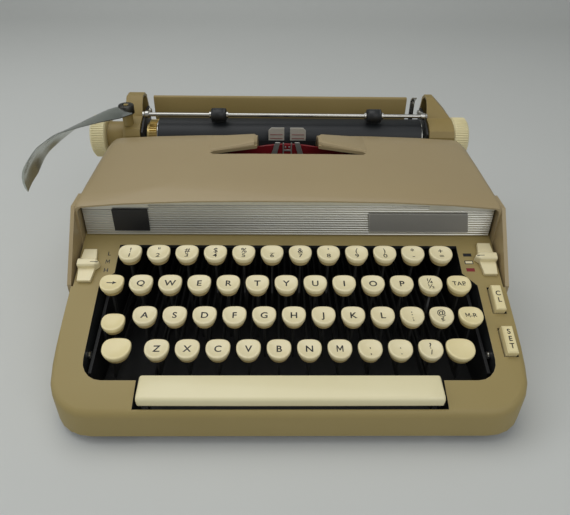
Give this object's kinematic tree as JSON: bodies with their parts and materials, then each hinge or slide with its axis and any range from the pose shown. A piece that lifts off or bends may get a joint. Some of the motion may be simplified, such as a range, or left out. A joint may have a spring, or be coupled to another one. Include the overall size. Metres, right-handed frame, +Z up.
{
  "type": "portable typewriter",
  "caption": "Portable manual typewriter: sloping housing, hinged cover with type opening, sprung keyboard, typebar basket and sliding carriage with platen, bail and return lever.",
  "frame": {"origin": "middle of the footprint at the height of the feet", "axes": "+X along the keyboard to the typist's right, +Y from the typist to the carriage, +Z up"},
  "size_m": [0.3364, 0.291, 0.1309],
  "materials": {
    "tan_enamel": "satin enamel",
    "cream_plastic": "satin",
    "pale_cream_plastic": "satin",
    "dark_steel": "satin black",
    "bright_steel": "polished",
    "brushed_aluminium": "ribbed and brushed",
    "red_paint": "satin enamel",
    "black_rubber": "ground",
    "inked_fabric": "woven and inked",
    "gold_metal": "satin",
    "clear_plastic": "clear",
    "bronze_paint": "satin metallic"
  },
  "bodies": {
    "frame": {"base_frame": "dark_steel", "lower_housing": "tan_enamel", "trim_strip": "brushed_aluminium", "carriage_rail": "bright_steel", "type_guard": "red_paint", "card_guides": "clear_plastic", "ribbon": "inked_fabric"},
    "cover": {"top_cover": "tan_enamel"},
    "carriage": {"carriage_frame": "dark_steel", "paper_table": "bronze_paint", "end_cover_left": "bronze_paint", "end_cover_right": "bronze_paint"},
    "platen": {"platen": "black_rubber", "line_space_wheel": "gold_metal", "platen_knob_left": "pale_cream_plastic", "platen_knob_right": "pale_cream_plastic"},
    "return_lever": {"return_lever": "bright_steel"},
    "bail": {"paper_bail": "bright_steel"},
    "paper_release": {"paper_release_lever": "bright_steel"},
    "space_bar": {"space_bar": "pale_cream_plastic"},
    "shift": {"shift_keys": "pale_cream_plastic"},
    "basket": {"typebar_basket": "bright_steel"},
    "vibrator": {"ribbon_vibrator": "bright_steel"},
    "spool_left": {"ribbon_spool_left": "bright_steel"},
    "spool_right": {"ribbon_spool_right": "bright_steel"},
    "shift_lock": {"shift_lock_key": "pale_cream_plastic"},
    "backspace": {"backspace_key": "cream_plastic"},
    "tabulator": {"tab_key": "cream_plastic"},
    "margin_release": {"margin_release_key": "cream_plastic"},
    "touch_control": {"touch_lever": "cream_plastic"},
    "ribbon_control": {"ribbon_selector": "cream_plastic"},
    "tab_clear": {"tab_clear_key": "cream_plastic"},
    "tab_set": {"tab_set_key": "cream_plastic"},
    "figure_keys": {"figure_keys": "cream_plastic"},
    "key_q": {"key_q": "cream_plastic"},
    "key_w": {"key_w": "cream_plastic"},
    "key_e": {"key_e": "cream_plastic"},
    "key_r": {"key_r": "cream_plastic"},
    "key_t": {"key_t": "cream_plastic"},
    "key_y": {"key_y": "cream_plastic"},
    "key_u": {"key_u": "cream_plastic"},
    "key_i": {"key_i": "cream_plastic"},
    "key_o": {"key_o": "cream_plastic"},
    "key_p": {"key_p": "cream_plastic"},
    "key_a": {"key_a": "cream_plastic"},
    "key_s": {"key_s": "cream_plastic"},
    "key_d": {"key_d": "cream_plastic"},
    "key_f": {"key_f": "cream_plastic"},
    "key_g": {"key_g": "cream_plastic"},
    "key_h": {"key_h": "cream_plastic"},
    "key_j": {"key_j": "cream_plastic"},
    "key_k": {"key_k": "cream_plastic"},
    "key_l": {"key_l": "cream_plastic"},
    "key_z": {"key_z": "cream_plastic"},
    "key_x": {"key_x": "cream_plastic"},
    "key_c": {"key_c": "cream_plastic"},
    "key_v": {"key_v": "cream_plastic"},
    "key_b": {"key_b": "cream_plastic"},
    "key_n": {"key_n": "cream_plastic"},
    "key_m": {"key_m": "cream_plastic"}
  },
  "joints": [
    {"name": "carriage_travel", "type": "slide", "parent": "frame", "child": "carriage", "axis": [-1, 0, 0], "range_m": [-0.105, 0.105]},
    {"name": "cover_hinge", "type": "hinge", "parent": "frame", "child": "cover", "pos_m": [0.0081, 0.0803, 0.09], "axis": [-1, 0, 0], "range_deg": [0, 42]},
    {"name": "platen_turn", "type": "hinge", "parent": "carriage", "child": "platen", "pos_m": [0.0081, 0.1135, 0.09], "axis": [1, 0, 0], "continuous": true},
    {"name": "return_lever_swing", "type": "hinge", "parent": "carriage", "child": "return_lever", "pos_m": [-0.1294, 0.1045, 0.1148], "axis": [0, 0, 1], "range_deg": [0, 24], "stiffness_Nm_per_rad": 0.4, "springref_deg": -5.73},
    {"name": "bail_lift", "type": "hinge", "parent": "carriage", "child": "bail", "pos_m": [0.0081, 0.1315, 0.106], "axis": [-1, 0, 0], "range_deg": [0, 45]},
    {"name": "paper_release_pull", "type": "hinge", "parent": "carriage", "child": "paper_release", "pos_m": [0.1221, 0.13325, 0.0701], "axis": [1, 0, 0], "range_deg": [0, 5]},
    {"name": "space_bar_press", "type": "hinge", "parent": "frame", "child": "space_bar", "pos_m": [0.0081, 0.0515, 0.02], "axis": [1, 0, 0], "range_deg": [0, 1.87], "stiffness_Nm_per_rad": 1.6, "springref_deg": -6.88},
    {"name": "shift_press", "type": "hinge", "parent": "frame", "child": "shift", "pos_m": [0.0081, 0.0655, 0.02], "axis": [1, 0, 0], "range_deg": [0, 2.6], "stiffness_Nm_per_rad": 3, "springref_deg": -6.88},
    {"name": "basket_shift", "type": "slide", "parent": "frame", "child": "basket", "axis": [0, 0, -1], "range_m": [0, 0.0065]},
    {"name": "vibrator_lift", "type": "slide", "parent": "frame", "child": "vibrator", "axis": [0, 0, 1], "range_m": [0, 0.006]},
    {"name": "spool_left_turn", "type": "hinge", "parent": "frame", "child": "spool_left", "pos_m": [-0.0889, 0.0195, 0.066], "axis": [0, 0, 1], "continuous": true},
    {"name": "spool_right_turn", "type": "hinge", "parent": "frame", "child": "spool_right", "pos_m": [0.1051, 0.0195, 0.066], "axis": [0, 0, 1], "continuous": true},
    {"name": "shift_lock_press", "type": "hinge", "parent": "frame", "child": "shift_lock", "pos_m": [0.0081, 0.0515, 0.02], "axis": [1, 0, 0], "range_deg": [0, 3], "stiffness_Nm_per_rad": 0.9, "springref_deg": -3.44},
    {"name": "backspace_press", "type": "hinge", "parent": "frame", "child": "backspace", "pos_m": [-0.1085, 0.0515, 0.02], "axis": [1, 0, 0], "range_deg": [0, 4.23], "stiffness_Nm_per_rad": 0.9, "springref_deg": -3.44},
    {"name": "tabulator_press", "type": "hinge", "parent": "frame", "child": "tabulator", "pos_m": [0.1201, 0.0515, 0.02], "axis": [1, 0, 0], "range_deg": [0, 4.23], "stiffness_Nm_per_rad": 0.9, "springref_deg": -3.44},
    {"name": "margin_release_press", "type": "hinge", "parent": "frame", "child": "margin_release", "pos_m": [0.1248, 0.0515, 0.02], "axis": [1, 0, 0], "range_deg": [0, 3.25], "stiffness_Nm_per_rad": 0.9, "springref_deg": -3.44},
    {"name": "touch_control_slide", "type": "slide", "parent": "frame", "child": "touch_control", "axis": [0, 0.9394, 0.3429], "range_m": [-0.006, 0.006]},
    {"name": "ribbon_control_slide", "type": "slide", "parent": "frame", "child": "ribbon_control", "axis": [0, 0.9394, 0.3429], "range_m": [-0.006, 0.006]},
    {"name": "tab_clear_press", "type": "slide", "parent": "frame", "child": "tab_clear", "axis": [0, 0.3429, -0.9394], "range_m": [0, 0.003], "stiffness_N_per_m": 60, "springref_m": -0.004},
    {"name": "tab_set_press", "type": "slide", "parent": "frame", "child": "tab_set", "axis": [0, 0.3429, -0.9394], "range_m": [0, 0.003], "stiffness_N_per_m": 60, "springref_m": -0.004},
    {"name": "figure_keys_press", "type": "hinge", "parent": "frame", "child": "figure_keys", "pos_m": [0.0081, 0.0515, 0.02], "axis": [1, 0, 0], "range_deg": [0, 3.94], "stiffness_Nm_per_rad": 6, "springref_deg": -8.59},
    {"name": "key_q_press", "type": "hinge", "parent": "frame", "child": "key_q", "pos_m": [-0.08945, 0.0515, 0.02], "axis": [1, 0, 0], "range_deg": [0, 5.18], "stiffness_Nm_per_rad": 0.9, "springref_deg": -3.44},
    {"name": "key_w_press", "type": "hinge", "parent": "frame", "child": "key_w", "pos_m": [-0.0704, 0.0515, 0.02], "axis": [1, 0, 0], "range_deg": [0, 5.18], "stiffness_Nm_per_rad": 0.9, "springref_deg": -3.44},
    {"name": "key_e_press", "type": "hinge", "parent": "frame", "child": "key_e", "pos_m": [-0.05135, 0.0515, 0.02], "axis": [1, 0, 0], "range_deg": [0, 5.18], "stiffness_Nm_per_rad": 0.9, "springref_deg": -3.44},
    {"name": "key_r_press", "type": "hinge", "parent": "frame", "child": "key_r", "pos_m": [-0.0323, 0.0515, 0.02], "axis": [1, 0, 0], "range_deg": [0, 5.18], "stiffness_Nm_per_rad": 0.9, "springref_deg": -3.44},
    {"name": "key_t_press", "type": "hinge", "parent": "frame", "child": "key_t", "pos_m": [-0.01325, 0.0515, 0.02], "axis": [1, 0, 0], "range_deg": [0, 5.18], "stiffness_Nm_per_rad": 0.9, "springref_deg": -3.44},
    {"name": "key_y_press", "type": "hinge", "parent": "frame", "child": "key_y", "pos_m": [0.0058, 0.0515, 0.02], "axis": [1, 0, 0], "range_deg": [0, 5.18], "stiffness_Nm_per_rad": 0.9, "springref_deg": -3.44},
    {"name": "key_u_press", "type": "hinge", "parent": "frame", "child": "key_u", "pos_m": [0.02485, 0.0515, 0.02], "axis": [1, 0, 0], "range_deg": [0, 5.18], "stiffness_Nm_per_rad": 0.9, "springref_deg": -3.44},
    {"name": "key_i_press", "type": "hinge", "parent": "frame", "child": "key_i", "pos_m": [0.0439, 0.0515, 0.02], "axis": [1, 0, 0], "range_deg": [0, 5.18], "stiffness_Nm_per_rad": 0.9, "springref_deg": -3.44},
    {"name": "key_o_press", "type": "hinge", "parent": "frame", "child": "key_o", "pos_m": [0.06295, 0.0515, 0.02], "axis": [1, 0, 0], "range_deg": [0, 5.18], "stiffness_Nm_per_rad": 0.9, "springref_deg": -3.44},
    {"name": "key_p_press", "type": "hinge", "parent": "frame", "child": "key_p", "pos_m": [0.082, 0.0515, 0.02], "axis": [1, 0, 0], "range_deg": [0, 5.18], "stiffness_Nm_per_rad": 0.9, "springref_deg": -3.44},
    {"name": "key_a_press", "type": "hinge", "parent": "frame", "child": "key_a", "pos_m": [-0.08469, 0.0515, 0.02], "axis": [1, 0, 0], "range_deg": [0, 4.48], "stiffness_Nm_per_rad": 0.9, "springref_deg": -3.44},
    {"name": "key_s_press", "type": "hinge", "parent": "frame", "child": "key_s", "pos_m": [-0.06564, 0.0515, 0.02], "axis": [1, 0, 0], "range_deg": [0, 4.48], "stiffness_Nm_per_rad": 0.9, "springref_deg": -3.44},
    {"name": "key_d_press", "type": "hinge", "parent": "frame", "child": "key_d", "pos_m": [-0.04659, 0.0515, 0.02], "axis": [1, 0, 0], "range_deg": [0, 4.48], "stiffness_Nm_per_rad": 0.9, "springref_deg": -3.44},
    {"name": "key_f_press", "type": "hinge", "parent": "frame", "child": "key_f", "pos_m": [-0.02754, 0.0515, 0.02], "axis": [1, 0, 0], "range_deg": [0, 4.48], "stiffness_Nm_per_rad": 0.9, "springref_deg": -3.44},
    {"name": "key_g_press", "type": "hinge", "parent": "frame", "child": "key_g", "pos_m": [-0.00849, 0.0515, 0.02], "axis": [1, 0, 0], "range_deg": [0, 4.48], "stiffness_Nm_per_rad": 0.9, "springref_deg": -3.44},
    {"name": "key_h_press", "type": "hinge", "parent": "frame", "child": "key_h", "pos_m": [0.01056, 0.0515, 0.02], "axis": [1, 0, 0], "range_deg": [0, 4.48], "stiffness_Nm_per_rad": 0.9, "springref_deg": -3.44},
    {"name": "key_j_press", "type": "hinge", "parent": "frame", "child": "key_j", "pos_m": [0.02961, 0.0515, 0.02], "axis": [1, 0, 0], "range_deg": [0, 4.48], "stiffness_Nm_per_rad": 0.9, "springref_deg": -3.44},
    {"name": "key_k_press", "type": "hinge", "parent": "frame", "child": "key_k", "pos_m": [0.04866, 0.0515, 0.02], "axis": [1, 0, 0], "range_deg": [0, 4.48], "stiffness_Nm_per_rad": 0.9, "springref_deg": -3.44},
    {"name": "key_l_press", "type": "hinge", "parent": "frame", "child": "key_l", "pos_m": [0.06771, 0.0515, 0.02], "axis": [1, 0, 0], "range_deg": [0, 4.48], "stiffness_Nm_per_rad": 0.9, "springref_deg": -3.44},
    {"name": "key_z_press", "type": "hinge", "parent": "frame", "child": "key_z", "pos_m": [-0.07516, 0.0515, 0.02], "axis": [1, 0, 0], "range_deg": [0, 3.94], "stiffness_Nm_per_rad": 0.9, "springref_deg": -3.44},
    {"name": "key_x_press", "type": "hinge", "parent": "frame", "child": "key_x", "pos_m": [-0.05611, 0.0515, 0.02], "axis": [1, 0, 0], "range_deg": [0, 3.94], "stiffness_Nm_per_rad": 0.9, "springref_deg": -3.44},
    {"name": "key_c_press", "type": "hinge", "parent": "frame", "child": "key_c", "pos_m": [-0.03706, 0.0515, 0.02], "axis": [1, 0, 0], "range_deg": [0, 3.94], "stiffness_Nm_per_rad": 0.9, "springref_deg": -3.44},
    {"name": "key_v_press", "type": "hinge", "parent": "frame", "child": "key_v", "pos_m": [-0.01801, 0.0515, 0.02], "axis": [1, 0, 0], "range_deg": [0, 3.94], "stiffness_Nm_per_rad": 0.9, "springref_deg": -3.44},
    {"name": "key_b_press", "type": "hinge", "parent": "frame", "child": "key_b", "pos_m": [0.00104, 0.0515, 0.02], "axis": [1, 0, 0], "range_deg": [0, 3.94], "stiffness_Nm_per_rad": 0.9, "springref_deg": -3.44},
    {"name": "key_n_press", "type": "hinge", "parent": "frame", "child": "key_n", "pos_m": [0.02009, 0.0515, 0.02], "axis": [1, 0, 0], "range_deg": [0, 3.94], "stiffness_Nm_per_rad": 0.9, "springref_deg": -3.44},
    {"name": "key_m_press", "type": "hinge", "parent": "frame", "child": "key_m", "pos_m": [0.03914, 0.0515, 0.02], "axis": [1, 0, 0], "range_deg": [0, 3.94], "stiffness_Nm_per_rad": 0.9, "springref_deg": -3.44}
  ],
  "couplings": [
    {"joint": "basket_shift", "follows": "shift_press", "m_per_rad": 0.14}
  ]
}
